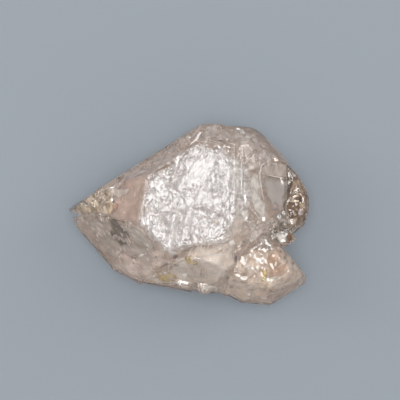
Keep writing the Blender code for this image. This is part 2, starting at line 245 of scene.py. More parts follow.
DASHES = [(165, 264), (184, 251), (187, 256), (168, 269)]
TIP_FILL = [(70, 206), (82, 207), (88, 212), (86, 220), (75, 220), (72, 213)]
CLEAR_WINDOW = [
    (260, 177), (287, 181), (284, 193), (281, 203), (278, 212), (268, 211), (264, 200), (261, 192),
]
PALE_GREEN = [(275, 232), (285, 227), (285, 236), (283, 244), (279, 243), (276, 237)]
PINK_BULGE = [(195, 262), (206, 260), (204, 276), (197, 278)]
FLAT_GREY = [(233, 214), (243, 212), (245, 222), (240, 233), (230, 238), (228, 228)]

GLINTS = [                   # outlines of places that throw the light straight back
    [(240.5, 196.7), (244.8, 194.4), (245.1, 201.3), (243.4, 201.6)],
    [(241.6, 217.4), (243.9, 213.7), (247.7, 215.1), (246.2, 218.6), (243.4, 221.4)],
    [(242.8, 223.1), (244.2, 224.0), (246.8, 225.4), (244.0, 225.8)],
    [(275.8, 217.4), (279.0, 213.4), (281.0, 215.6), (279.6, 219.0)],
    [(281.6, 211.6), (284.2, 210.6), (285.4, 214.6), (283.4, 216.0)],
    [(281.4, 218.0), (284.4, 217.4), (284.8, 221.2), (282.0, 221.0)],
    [(264.0, 234.6), (276.7, 229.2), (284.7, 224.4), (284.9, 225.8), (277.0, 231.0), (264.6, 236.2)],
    [(261.7, 231.0), (272.0, 227.6), (281.4, 224.6), (281.6, 225.5), (272.4, 228.7), (262.0, 232.0)],
    [(276.8, 233.0), (283.8, 229.4), (283.2, 233.6), (278.4, 236.4)],
    [(279.4, 238.0), (283.2, 236.4), (282.4, 241.6), (280.2, 242.0)],
    [(260.2, 216.2), (263.6, 217.0), (264.8, 221.4), (262.0, 220.0)],
    [(254.0, 148.6), (254.6, 145.4), (259.0, 141.4), (259.6, 143.0), (256.6, 147.6)],
    [(260.0, 160.4), (261.0, 156.8), (270.0, 149.4), (270.6, 150.6), (262.4, 158.4)],
    [(236.4, 128.6), (239.6, 128.0), (240.0, 131.0), (237.4, 131.6)],
    [(242.4, 130.6), (245.6, 131.2), (244.6, 134.4), (242.0, 133.6)],
    [(244.4, 136.8), (248.8, 137.4), (248.4, 139.6), (244.8, 139.4)],
    [(251.0, 133.6), (253.4, 134.0), (252.8, 136.6), (250.6, 136.2)],
    [(217.4, 147.8), (219.6, 148.0), (221.6, 151.8), (219.8, 151.6)],
    [(88.0, 199.4), (94.6, 194.4), (95.4, 195.4), (90.0, 199.8)],
    [(99.4, 213.4), (104.6, 214.0), (104.4, 215.2), (100.0, 214.8)],
    [(103.6, 186.6), (109.0, 184.2), (109.4, 185.2), (104.4, 187.6)],
    [(110.4, 187.8), (116.0, 186.2), (116.2, 187.2), (111.0, 188.6)],
    [(112.0, 198.4), (114.0, 198.0), (113.6, 201.0), (112.0, 200.8)],
    [(145.4, 242.2), (146.6, 242.2), (149.6, 246.6), (148.4, 246.8)],
    [(259.6, 259.2), (262.6, 255.2), (263.4, 258.6), (260.8, 263.6)],
    [(175.8, 288.2), (182.6, 285.0), (187.0, 277.0), (188.0, 277.4), (184.4, 285.8), (177.4, 289.0)],
    [(305.8, 270.6), (302.4, 274.2), (300.4, 279.6), (299.0, 279.4), (300.8, 274.0), (304.0, 270.0)],
]
# painted highlights: pale glints drawn as white matt flakes
PALE_GLINTS = [              # paler ones
    [(139.4, 254.6), (144.0, 253.0), (144.6, 254.8), (140.2, 256.2)],
    [(239.7, 276.4), (243.4, 274.6), (247.4, 275.2), (246.6, 277.4), (241.6, 278.4)],
    [(247.4, 281.0), (250.8, 280.0), (251.4, 286.0), (248.0, 286.6)],
    [(247.8, 288.0), (251.2, 287.4), (250.4, 296.0), (247.6, 295.4)],
    [(254.6, 262.0), (256.2, 257.4), (258.8, 256.6), (257.8, 262.6)],
    [(273.6, 264.6), (274.6, 260.6), (276.6, 260.8), (275.6, 265.6)],
    [(238.0, 243.6), (243.6, 239.8), (248.2, 241.2), (244.4, 246.8), (240.4, 246.0)],
    [(227.6, 240.8), (232.4, 240.0), (234.6, 242.6), (230.6, 244.4)],
    [(182.0, 272.0), (185.8, 268.6), (188.6, 271.4), (186.4, 276.0), (183.0, 276.0)],
]
# painted highlights: gold-toned glints, drawn as flat matt flakes
GOLD_GLINT_BARS = [
    [(291.0, 200.2), (300.2, 199.8), (300.0, 201.8), (291.2, 202.2)],
    [(295.4, 180.0), (299.8, 179.6), (300.6, 184.0), (298.2, 183.0)],
    [(293.4, 195.6), (299.8, 194.8), (300.0, 196.2), (293.6, 197.2)],
    [(294.6, 190.2), (299.0, 187.4), (299.4, 188.8), (295.2, 191.6)],
    [(301.2, 192.8), (304.4, 195.6), (303.8, 196.8), (300.8, 194.2)],
    [(289.0, 231.6), (294.0, 229.6), (294.2, 230.8), (289.6, 232.8)],
]
# painted shade: dark ribbons drawn along ridges and facet edges, where the edges look dark
SHADE_LINES = [               # path, width in millimetres
    ([(157.3, 272.3), (170, 264), (186, 254), (200.7, 242.5)], 0.22),
    ([(78, 211), (90, 213), (101, 215), (109, 216), (120, 219.5), (137, 224.4)], 0.28),
    ([(244.5, 201.3), (252.6, 211.7), (259.4, 219.1), (265.2, 224.9)], 0.30),
    ([(254.9, 227.7), (261.7, 236.9), (268.6, 242.1), (274, 250)], 0.40),
    ([(287.6, 225.2), (304.2, 225.4)], 0.30),
    ([(241.6, 162), (242.6, 176), (242.2, 192)], 0.30),
    ([(281.5, 247.5), (290, 258), (299, 269), (304, 276)], 0.26),
    ([(270.2, 283.2), (274.4, 277.7), (280, 275)], 0.24),
    ([(214, 252), (224, 248), (234, 248)], 0.20),
    ([(187.6, 275), (196, 284), (203, 290)], 0.24),
    ([(259.6, 175.4), (274, 178), (287, 180.4)], 0.26),
    ([(139, 172), (152, 163), (166, 152), (181, 141), (192, 134)], 0.24),
    ([(188.6, 140.4), (200, 138.4), (216, 140), (228, 146)], 0.22),
]
# painted highlights: pale ribbons along lens rims and edges that catch the light
HIGHLIGHT_LINES = [
    ([(265.2, 162.3), (260, 166.3), (258.3, 174.4), (259.4, 183), (260.6, 192.1), (262.3, 200.2)], 0.42),
    ([(259.5, 173), (268, 175.6), (274.4, 176.8), (287, 178.6)], 0.22),
    ([(258.9, 232.3), (262, 236.4), (266.3, 240.8)], 0.34),
    ([(246.5, 203.6), (254, 213.4), (260.6, 220.6)], 0.26),
    ([(240.4, 161), (241, 175), (241.2, 188)], 0.26),
    ([(283.6, 246.6), (292, 257), (300, 267), (305, 273.6)], 0.24),
    ([(140, 171), (150, 164.6), (158, 159)], 0.24),
    ([(169.6, 152), (176.4, 146), (186.4, 139.6)], 0.30),
    ([(176.8, 164.4), (180.4, 156), (184.2, 149.6)], 0.9),
    ([(173.6, 183.6), (176, 173)], 0.7),
    ([(205.4, 252.6), (214, 253.4), (224.6, 252.4)], 0.30),
]

SPARKLING = [                # outline, size of the little facets, their steepness
    (UPPER_STRIP, 1.1, 0.34),
    (LEFT_TIP, 1.1, 0.24),
    (TOP_SPARKLE, 1.1, 0.45),
    (RIGHT_SPARKLE, 1.3, 0.55),
    (LOWER_SPARKLE, 0.8, 0.26),
    (RIGHT_MIDDLE, 1.8, 0.16),
    (LOWER_RIGHT, 2.2, 0.14),
    (BROWN_END, 2.2, 0.16),
    (LOWER_LEFT, 2.6, 0.10),
    (LOWER_BODY, 2.4, 0.10),
    (TOP_BAND, 2.4, 0.12),
]


rng = random.Random(SEED)
noise.seed_set(SEED)


# Skin: the CAD solid's flat facets, meshed finely and given their relief

def flat_facets(source):
    """The CAD solid with doubles merged and flat neighbours joined, in millimetres."""
    shape = bmesh.new()
    shape.from_mesh(source.data)
    bmesh.ops.transform(shape, matrix=Matrix.Scale(1 / MM, 4) @ source.matrix_world, verts=shape.verts)
    bmesh.ops.remove_doubles(shape, verts=shape.verts, dist=SAME_PLACE)
    bmesh.ops.dissolve_limit(
        shape, angle_limit=FLAT_ANGLE, verts=shape.verts, edges=shape.edges, delimit=set()
    )
    shape.normal_update()
    shape.verts.index_update()
    shape.edges.index_update()
    return shape


def is_plate(normal, point):
    return normal.z > 0.98 and point.z > PLATE_HEIGHT


def facet_step(facet):
    """How fine the skin is on one facet."""
    if is_plate(facet.normal, facet.calc_center_median()):
        return PLATE_STEP
    return FRONT_STEP if facet.normal.z > -0.1 else BACK_STEP


def path_distances(points, path, closed):
    """Distance from each flat point to the nearest part of a path."""
    starts = np.array(path)
    stops = np.roll(starts, -1, axis=0)
    if not closed:
        starts, stops = starts[:-1], stops[:-1]
    along = stops - starts
    lengths = np.maximum((along ** 2).sum(1), 1e-12)
    away = points[:, None, :] - starts[None]
    part = np.clip((away * along[None]).sum(2) / lengths[None], 0.0, 1.0)
    gap = away - part[..., None] * along[None]
    return np.sqrt((gap ** 2).sum(2)).min(1)


def inside_outline(points, outline):
    """Whether each flat point is inside an outline."""
    starts = np.array(outline)
    stops = np.roll(starts, -1, axis=0)
    y, y0, y1 = points[:, 1:2], starts[None, :, 1], stops[None, :, 1]
    crosses = (y0 > y) != (y1 > y)
    slope = (y - y0) / np.where(np.abs(y1 - y0) < 1e-12, 1e-12, y1 - y0)
    crossing = starts[None, :, 0] + slope * (stops - starts)[None, :, 0]
    return (crosses & (points[:, 0:1] < crossing)).sum(1) % 2 == 1


def inner_points(rim, step):
    """Points inside a flat rim: a row close along it and an uneven grid in the middle."""
    rim = np.array(rim)
    stops = np.roll(rim, -1, axis=0)
    along = stops - rim
    sideways = np.stack([-along[:, 1], along[:, 0]], 1)
    sideways /= np.maximum(np.linalg.norm(sideways, axis=1, keepdims=True), 1e-9)
    corner = sideways + np.roll(sideways, 1, axis=0)
    corner /= np.maximum(np.linalg.norm(corner, axis=1, keepdims=True), 1e-9)
    row = rim + corner * BEVEL
    low, high = rim.min(0), rim.max(0)
    across = max(2, int((high[0] - low[0]) / step) + 2)
    up = max(2, int((high[1] - low[1]) / (step * 0.87)) + 2)
    xs, ys = np.meshgrid(np.arange(across), np.arange(up))
    grid = np.stack([xs.ravel() + 0.5 * (ys.ravel() % 2), ys.ravel() * 0.87], 1) * step + low
    shake = np.random.default_rng(len(grid)).uniform(-0.2, 0.2, grid.shape) * step
    grid = grid + shake
    row = row[inside_outline(row, rim) & (path_distances(row, rim, True) > 0.75 * BEVEL)]
    grid = grid[inside_outline(grid, rim)]
    if len(grid):
        grid = grid[path_distances(grid, rim, True) > BEVEL + 0.45 * step]
    return np.concatenate([row, grid]) if len(row) else grid


def mesh_skin(shape):
    """Meshes each facet finely, with neighbours sharing the points on their common edges."""
    points = [v.co.copy() for v in shape.verts]
    on_edge = {}
    real_edges = []
    for edge in shape.edges:
        step = min(facet_step(f) for f in edge.link_faces)
        start, stop = edge.verts[0].co, edge.verts[1].co
        count = max(1, round((stop - start).length / step))
        on_edge[edge.index] = list(range(len(points), len(points) + count - 1))
        points.extend(start.lerp(stop, i / count) for i in range(1, count))
        if edge.calc_face_angle(0.0) > EDGE_ANGLE:
            real_edges.append((start.copy(), stop.copy()))
    faces, normals = [], {}
    for facet in shape.faces:
        loop_points = []
        for loop in facet.loops:
            loop_points.append(loop.vert.index)
            between = on_edge[loop.edge.index]
            loop_points += between if loop.edge.verts[0] == loop.vert else between[::-1]
        normal = facet.normal.copy()
        side = normal.orthogonal().normalized()
        up = normal.cross(side)
        origin = facet.verts[0].co.copy()
        rim = [((points[i] - origin).dot(side), (points[i] - origin).dot(up)) for i in loop_points]
        inner = inner_points(rim, facet_step(facet))
        flat = [Vector(p) for p in rim] + [Vector(p) for p in inner]
        edges = [(i, (i + 1) % len(rim)) for i in range(len(rim))]
        out, _, triangles, sources, _, _ = geometry.delaunay_2d_cdt(flat, edges, [], 1, 1e-5)
        place = []
        for position, source in zip(out, sources):
            if source and source[0] < len(rim):
                place.append(loop_points[source[0]])
            else:
                place.append(len(points))
                points.append(origin + side * position.x + up * position.y)
        for triangle in triangles:
            corners = [place[i] for i in triangle]
            if len(set(corners)) < 3:
                continue
            faces.append(corners)
            for i in corners:
                normals.setdefault(i, []).append(normal)
    return points, faces, normals, real_edges


def edge_tree(real_edges):
    """Points along all real edges, to measure how far a point of the skin is from one."""
    marks = []
    for start, stop in real_edges:
        count = max(1, int((stop - start).length / MARK_GAP))
        marks += [start.lerp(stop, i / count) for i in range(count + 1)]
    tree = kdtree.KDTree(len(marks))
    for index, mark in enumerate(marks):
        tree.insert(mark, index)
    tree.balance()
    return tree


def smooth_step(value, low, high):
    part = min(1.0, max(0.0, (value - low) / (high - low)))
    return part * part * (3.0 - 2.0 * part)


def groove(value, width):
    """1 on the zero line of a value, falling off on both sides."""
    return math.exp(-((value / width) ** 2))


def crackle(point, cell, width=0.2):
    """1 on the uneven net of lines between cells of a size, 0 inside them."""
    near = noise.voronoi(point / cell)[0]
    return groove((near[1] - near[0]) * cell, width)


def plate_relief(point, tilted, deep, calm):
    """Etched plate: a net of fine grooves, worm-like lines, terraces and upright ridges."""
    p = point + noise.noise_vector(point * 0.5) * 1.0 + noise.noise_vector(point * 1.7) * 0.25
    lower = smooth_step(0.5 - point.y, 0.0, 2.5)
    upper = smooth_step(point.y - 2.0 + point.x * 0.6, 0.0, 4.0)
    cells = crackle(Vector((p.x, p.y, 0.0)), 1.7, 0.13) * smooth_step(noise.noise(point * 0.45), -0.4, 0.0)
    upright = crackle(Vector((p.x, p.y * 0.36, 5.0)), 1.3, 0.13)
    worms = groove(noise.noise(Vector((p.x * 0.95, p.y * 0.95, 2.0))), 0.09)
    net = cells * (1.0 - lower) * (1.0 - 0.6 * upper) + upright * lower + worms * max(upper, 0.35)
    grain = noise.noise(point * 1.9) * 0.008 + noise.noise(point * 3.9) * 0.005
    slope = -PLATE_FALL * min(tilted, FALL_WIDTH) + 0.06 * noise.noise(point * 1.1) * min(tilted, 1.0)
    return calm * (grain - NET_DEPTH * net) + slope - deep


def streak_relief(point, along, pitch, depth):
    """Long fine furrows that run along a direction."""
    down = Vector((0, 0, 1)).cross(along)
    p = Vector((point.dot(along) * 0.12, point.dot(down) / pitch, point.z * 0.1))
    return depth * (noise.noise(p) + 0.5 * noise.noise(p * 2.3))


def swell(point):
    """The faint waviness of a natural face."""
    return 0.045 * noise.noise(point * 0.30) + 0.018 * noise.noise(point * 0.95)


STREAK_DIRECTION = Vector((0.58, -0.81, 0.0))


def facet_relief(point, cell, steepness):
    """Little flat facets, each with a tilt of its own."""
    p = point + noise.noise_vector(point * 0.6) * 0.5
    middle = noise.voronoi(p / cell)[1][0] * cell
    tilt = noise.cell_vector(middle * 7.3) - Vector((0.5, 0.5, 0.5))
    return max(-FACET_LIMIT, min(FACET_LIMIT, steepness * 2.0 * tilt.dot(p - middle)))


def face_relief(point, normal, gap, sparkle):
    """Height of the skin above any face but the front plate, in millimetres."""
    height = swell(point)
    if normal.z > 0.993:
        height += 0.22 * min(gap, 1.5)
    if sparkle:
        height += facet_relief(point, *sparkle)
    if normal.x < -0.4 and normal.y < -0.4 and normal.z > 0.3:
        return height + streak_relief(point, STREAK_DIRECTION, 0.7, 0.07)
    rough = smooth_step(noise.noise(point * 0.22 + Vector((7, 2, 5))), -0.1, 0.3)
    net = crackle(point + noise.noise_vector(point * 0.8) * 0.6, 2.2)
    return height + rough * (0.06 * noise.noise(point * 1.5) - 0.04 * net)


def plate_fields(points):
    """For points of the plate: distance outside the level parts, depth of grooves, and calm."""
    flat = np.array([
        (point + noise.noise_vector(point * 0.7) * 0.5 + noise.noise_vector(point * 2.1) * 0.35).xy
        for point in points
    ])
    tilted = np.full(len(flat), 1e9)
    for outline in [BRIGHT_PATCH] + BRIGHT_STRIPS:
        gap = path_distances(flat, outline, True)
        tilted = np.minimum(tilted, np.where(inside_outline(flat, outline), 0.0, gap))
    deep = np.zeros(len(flat))
    for path, width, depth in GROOVES:
        deep += depth * np.exp(-((path_distances(flat, path, False) / width) ** 2))
    x, y, radius = SMOOTH_PATCH
    calm = np.clip((np.hypot(flat[:, 0] - x, flat[:, 1] - y) - radius + 0.6) / 1.2, 0.35, 1.0)
    return tilted, deep, calm


def sparkle_fields(points, upward):
    """For points of the upper side that lie in a sparkling place: facet size and steepness."""
    flat = np.array([(points[index] + noise.noise_vector(points[index] * 0.6) * 0.7).xy for index in upward])
    fields = {}
    for outline, cell, steepness in reversed(SPARKLING):
        for k in np.flatnonzero(inside_outline(flat, outline)):
            fields[upward[k]] = (cell, steepness)
    return fields


def raise_relief(points, normals, real_edges):
    """Moves the points of the skin: relief inside the facets, wear and chips along the edges."""
    tree = edge_tree(real_edges)
    moved = list(points)
    means = {index: sum(facing, Vector()).normalized() for index, facing in normals.items()}
    plate = [index for index, mean in means.items() if is_plate(mean, points[index])]
    fields = dict(zip(plate, zip(*plate_fields([points[index] for index in plate]))))
    upward = [index for index, mean in means.items() if mean.z > 0.0]
    sparkles = sparkle_fields(points, upward)
    for index, mean in means.items():
        point = points[index]
        _, _, gap = tree.find(point)
        if gap < 0.02:
            wear = LEAST_WEAR + MORE_WEAR * max(0.0, noise.noise(point * 0.8))
            chip = smooth_step(noise.noise(point * 0.45 + Vector((5, 5, 5))), 0.3, 0.5)
            wear += CHIP_DEPTH * chip * (0.5 + noise.noise(point * 2.1))
            moved[index] = point - mean * max(0.0, wear)
            continue
        if index in fields:
            height = plate_relief(point, *fields[index])
        else:
            height = face_relief(point, mean, gap, sparkles.get(index))
        moved[index] = point + mean * height * smooth_step(gap, BEVEL * 0.8, RELIEF_EDGE)
    etch = {index: calm * smooth_step(1.6 - tilted, 0.0, 1.2) for index, (tilted, _, calm) in fields.items()}
    return moved, etch


def build_skin():
    """The fine skin that is shown instead of the plain CAD solid."""
    shape = flat_facets(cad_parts["crystal"])
    points, faces, normals, real_edges = mesh_skin(shape)
    shape.free()
    moved, etch = raise_relief(points, normals, real_edges)
    low, high = CAD_BOX
    for p in moved:
        for axis in range(3):
            p[axis] = min(max(p[axis] * MM, low[axis]), high[axis])
    mesh = bpy.data.meshes.new("crystal_skin")
    mesh.from_pydata([p[:] for p in moved], [], faces)
    layer = mesh.attributes.new("etch", "FLOAT", "POINT")
    layer.data.foreach_set("value", [etch.get(index, 0.0) for index in range(len(moved))])
    mesh.update()
    mesh.shade_smooth()
    skin = bpy.data.objects.new("crystal_skin", mesh)
    bpy.context.scene.collection.objects.link(skin)
    skin.data.materials.append(quartz_material())
    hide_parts("crystal")
    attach(skin, "root")
    return skin


# Makers of what lies inside: veils, streaks, flakes and stains, all in millimetres

def surface_tree(item):
    mesh = item.data
    points = [item.matrix_world @ v.co / MM for v in mesh.vertices]
    return BVHTree.FromPolygons(points, [list(p.vertices) for p in mesh.polygons])


def from_photo(outline):
    """Flat millimetres of points that are given in pixels of the photograph."""
    return [
        (
            (px - PIXEL_MIDDLE[0]) * PIXEL_SIZE + MIDDLE_SEEN[0],
            (PIXEL_MIDDLE[1] - py) * PIXEL_SIZE + MIDDLE_SEEN[1],
        )
        for px, py in outline
    ]


class Inside:
    """Finds places under the skin."""

    def __init__(self, item):
        self.tree = surface_tree(item)
        self.flat = surface_tree(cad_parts["crystal"])

    def bright_flake(self, outline, depth):
        """Corners of a flat flake that throws the light from above straight back through its face."""
        outline = [Vector(point) for point in outline]
        middle = sum(outline, Vector((0.0, 0.0))) / len(outline)
        hit, normal, _, _ = self.flat.ray_cast(Vector((*middle, 100.0)), Vector((0, 0, -1)))
        skin = self.under_top(middle.x, middle.y, 0.0)
        if not hit or not skin or normal.z < 0.2:
            return []
        bend = 1.0 / INDEX
        cosine = math.sqrt(1.0 - bend * bend * (1.0 - normal.z * normal.z))
        ray = Vector((0, 0, -bend)) + normal * (bend * normal.z - cosine)
        tops = []
        for point in outline:
            aside = point - middle
            fall = -(normal.x * aside.x + normal.y * aside.y) / normal.z
            tops.append(Vector((point.x, point.y, min(hit.z, skin.z) + fall)))
        start = Vector((middle.x, middle.y, min(hit.z, skin.z)))
        reach = max(depth, max((top - start).dot(ray) for top in tops) + depth * 0.5)
        goal = start + ray * reach
        corners = [top + ray * (goal - top).dot(ray) for top in tops]
        return corners if all(self.holds(corner, 0.08) for corner in corners) else []

    def under_top(self, x, y, depth):
        """The point at a depth under the upper surface, or nothing off the crystal."""
        hit, _, _, _ = self.tree.ray_cast(Vector((x, y, 100.0)), Vector((0, 0, -1)))
        return Vector((x, y, hit.z - depth)) if hit else None

    def above_bottom(self, x, y, height):
        """The point at a height above the lower surface, or nothing off the crystal."""
        hit, _, _, _ = self.tree.ray_cast(Vector((x, y, -100.0)), Vector((0, 0, 1)))
        return Vector((x, y, hit.z + height)) if hit else None

    def holds(self, point, margin=0.3):
        """Whether a point lies inside, at least a margin from the skin."""
        near, normal, _, distance = self.tree.find_nearest(point)
        return (point - near).dot(normal) < 0.0 and distance > margin


def add_piece(name, points, faces, material, fades=None):
    """Makes one inner piece, which moves with the crystal."""
    mesh = bpy.data.meshes.new(name)
    mesh.from_pydata([(Vector(p) * MM)[:] for p in points], [], faces)
    if fades:
        layer = mesh.attributes.new("fade", "FLOAT", "POINT")
        layer.data.foreach_set("value", fades)
    mesh.update()
    mesh.shade_smooth()
    mesh.materials.append(material)
    piece = bpy.data.objects.new(name, mesh)
    bpy.context.scene.collection.objects.link(piece)
    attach(piece, "root")
    return piece


def add_veil(
    name, inside, outline, depth, wave, material, feather, step=VEIL_STEP, from_below=False, opening=None
):
    """A thin cloudy sheet that follows the surface at a depth, with a soft uneven edge."""
    outline = np.array(outline)
    low, high = outline.min(0) - 1.0, outline.max(0) + 1.0
    columns = int((high[0] - low[0]) / step) + 1
    rows = int((high[1] - low[1]) / step) + 1
    shift = Vector((len(name) * 3.7, depth * 11.0, 0.0))
    flat = np.array([(low[0] + i * step, low[1] + j * step) for j in range(rows) for i in range(columns)])
    drift = [(noise.noise_vector(Vector((x, y, 0)) * 0.5 + shift) * 0.8).xy for x, y in flat]
    warped = flat + np.array(drift)
    gap = path_distances(warped, outline, True)
    gap = np.where(inside_outline(warped, outline), gap, -gap)
    if opening:
        clear = path_distances(warped, opening, True)
        gap = np.minimum(gap, np.where(inside_outline(warped, opening), -clear, clear))
    number, points, fades = {}, [], []
    for k, (x, y) in enumerate(flat):
        if gap[k] < 0.0:
            continue
        lift = depth + wave * noise.noise(Vector((x, y, 0)) * 0.25 + shift)
        lift += 0.3 * wave * noise.noise(Vector((x, y, 0)) * 0.9 + shift)
        place = inside.above_bottom if from_below else inside.under_top
        point = place(x, y, max(0.5, lift))
        if point and inside.holds(point):
            number[k] = len(points)
            points.append(point)
            fades.append(min(1.0, gap[k] / feather))
    faces = []
    for j in range(rows - 1):
        for i in range(columns - 1):
            corners = [j * columns + i, j * columns + i + 1, (j + 1) * columns + i + 1, (j + 1) * columns + i]
            if all(c in number for c in corners):
                heights = [points[number[c]].z for c in corners]
                if max(heights) - min(heights) < STEEPEST * step:
                    faces.append([number[c] for c in corners])
    return add_piece(name, points, faces, material, fades)


def add_face(points, faces, corners):
    """Adds one face that has its points to itself."""
    faces.append(list(range(len(points), len(points) + len(corners))))
    points += corners


def add_glints(name, inside, outlines, depth, material):
    """Flat inner flakes at given outlines, each turned to shine."""
    points, faces = [], []
    for outline in outlines:
        corners = inside.bright_flake(from_photo(outline), depth)
        if corners:
            add_face(points, faces, corners)
    return add_piece(name, points, faces, material)


def random_place(outline, rng):
    """A random flat point inside an outline."""
    outline = np.array(outline)
    low, high = outline.min(0), outline.max(0)
    while True:
        spot = np.array([[rng.uniform(low[0], high[0]), rng.uniform(low[1], high[1])]])
        if inside_outline(spot, outline)[0]:
            return spot[0]


def add_flakes(name, inside, spots, material):
    """Tiny uneven flakes. A spot is an outline, a number, sizes, depths and the most lean."""
    points, faces = [], []
    for outline, count, sizes, depths, lean in spots:
        for _ in range(count):
            x, y = random_place(outline, rng)
            middle = inside.under_top(x, y, rng.uniform(*depths))
            size = rng.uniform(*sizes)
            turn = Matrix.Rotation(rng.uniform(0.0, math.tau), 3, "Z")
            tip = Matrix.Rotation(math.radians(rng.uniform(-lean, lean)), 3, "X")
            flake_turn = turn @ tip
            if not middle or not inside.holds(middle, 0.25):
                continue
            corners = rng.randint(4, 7)
            stretch = rng.uniform(0.35, 1.0)
            rim = []
            for corner in range(corners):
                angle = math.tau * corner / corners
                reach = size / 2 * rng.uniform(0.6, 1.1)
                spoke = Vector((math.cos(angle) * reach, math.sin(angle) * reach * stretch, 0.0))
                rim.append(middle + flake_turn @ spoke)
            add_face(points, faces, rim)
    return add_piece(name, points, faces, material)


def add_cracks(name, inside, spots, material):
    """Flat inner cracks with straight edges. A spot is an outline, a number, sizes, depths and lean."""
    points, faces = [], []
    for outline, count, sizes, depths, lean in spots:
        for _ in range(count):
            x, y = random_place(outline, rng)
            middle = inside.under_top(x, y, rng.uniform(*depths))
            size = rng.uniform(*sizes)
            turn = Matrix.Rotation(rng.uniform(0.0, math.tau), 3, "Z")
            tip = Matrix.Rotation(math.radians(rng.uniform(lean * 0.3, lean)), 3, "X")
            corners = rng.randint(3, 5)
            rim = []
            for corner in range(corners):
                angle = math.tau * (corner + rng.uniform(-0.3, 0.3)) / corners
                reach = size / 2 * rng.uniform(0.6, 1.2)
                rim.append(turn @ tip @ Vector((math.cos(angle) * reach, math.sin(angle) * reach * 0.7, 0.0)))
            if middle and all(inside.holds(middle + spoke, 0.3) for spoke in rim):
                add_face(points, faces, [middle + spoke for spoke in rim])
    return add_piece(name, points, faces, material)


def add_ribbons(name, inside, paths, material):
    """Narrow wavy ribbons. A path is its flat points, its width and its depth."""
    points, faces = [], []
    for path, width, depth in paths:
        path = [Vector(p) for p in path]
        samples = []
        for start, stop in zip(path[:-1], path[1:]):
            count = max(1, int((stop - start).length / 0.3))
            samples += [start.lerp(stop, i / count) for i in range(count)]
        samples.append(path[-1])
        rows = []
        for k, spot in enumerate(samples):
            ahead = samples[min(k + 1, len(samples) - 1)] - samples[max(k - 1, 0)]
            side = Vector((-ahead.y, ahead.x)).normalized()
            shake = noise.noise(Vector((spot.x, spot.y, depth)) * 1.3) * 0.15
            part = k / max(1, len(samples) - 1)
            half = width / 2 * (0.25 + 0.75 * math.sin(math.pi * part)) * (0.8 + 3.0 * abs(shake))
            middle = spot + side * shake
            edges = [inside.under_top(*(middle + side * s * half), depth) for s in (-1, 1)]
            if all(edges) and all(inside.holds(edge, 0.15) for edge in edges):
                rows.append(edges)
            else:
                rows.append(None)
        for a, b in zip(rows[:-1], rows[1:]):
            if a and b and (a[0] - b[0]).length < 1.0 and (a[1] - b[1]).length < 1.0:
                add_face(points, faces, [a[0], a[1], b[1], b[0]])
    return add_piece(name, points, faces, material)


def wisps(outline, count, lengths, widths, depths, bearing, spread):
    """Random short ribbon paths inside an outline that run along a bearing."""
    paths = []
    for _ in range(count):
        x, y = random_place(outline, rng)
        angle = math.radians(bearing + rng.uniform(-spread, spread))
        reach = Vector((math.cos(angle), math.sin(angle))) * rng.uniform(*lengths) / 2
        middle = Vector((x, y))
        paths.append(([middle - reach, middle, middle + reach], rng.uniform(*widths), rng.uniform(*depths)))
    return paths


# Materials

class Look:
    """A material in the making. A value is a number, a colour or the output of a node."""

    def __init__(self, name):
        self.material = bpy.data.materials.new(name)
        self.material.use_nodes = True
        self.nodes = self.material.node_tree.nodes
        self.shader = self.nodes["Principled BSDF"]

    def feed(self, node, values):
        """Puts values into a node's inputs."""
        for key, value in values.items():
            if isinstance(value, bpy.types.NodeSocket):
                self.material.node_tree.links.new(value, node.inputs[key])
            else:
                node.inputs[key].default_value = value

    def add(self, kind, output, values):
        """Adds a node and gives one of its outputs."""
        node = self.nodes.new(kind)
        self.feed(node, values)
        return node.outputs[output]

    def math(self, operation, first, second=0.0):
        value = self.add("ShaderNodeMath", "Value", {0: first, 1: second})
        value.node.operation = operation
        return value

    def remap(self, value, low, high, start=0.0, stop=1.0, kind="SMOOTHSTEP"):
        """A value between low and high taken to between start and stop, and held beyond them."""
        limits = {"From Min": low, "From Max": high, "To Min": start, "To Max": stop}
        result = self.add("ShaderNodeMapRange", "Result", {"Value": value, **limits})
        result.node.interpolation_type = kind
        return result

    def noise(self, scale, detail=4.0, stretch=None, output="Fac"):
        """Noise in the object's own coordinates, with a number of features per millimetre."""
        place = self.add("ShaderNodeTexCoord", "Object", {})
        if stretch:
            bearing, ratio = stretch
            place = self.add("ShaderNodeMapping", "Vector", {
                "Vector": place,
                "Rotation": (0.0, 0.0, -math.radians(bearing)),
                "Scale": (1.0 / ratio, 1.0, 1.0),
            })
        values = {"Vector": place, "Scale": scale / MM, "Detail": detail}
        return self.add("ShaderNodeTexNoise", output, values)

    def tones(self, value, tones, low, high):
        """Two or three tones, the first one at the low value and the last one at the high value."""
        colour = self.add("ShaderNodeValToRGB", "Color", {"Fac": value})
        stops = colour.node.color_ramp.elements
        stops[0].position = low
        stops[1].position = high
        stops[0].color = (*tones[0], 1.0)
        stops[1].color = (*tones[-1], 1.0)
        if len(tones) == 3:
            stops.new(0.5).color = (*tones[1], 1.0)
        return colour


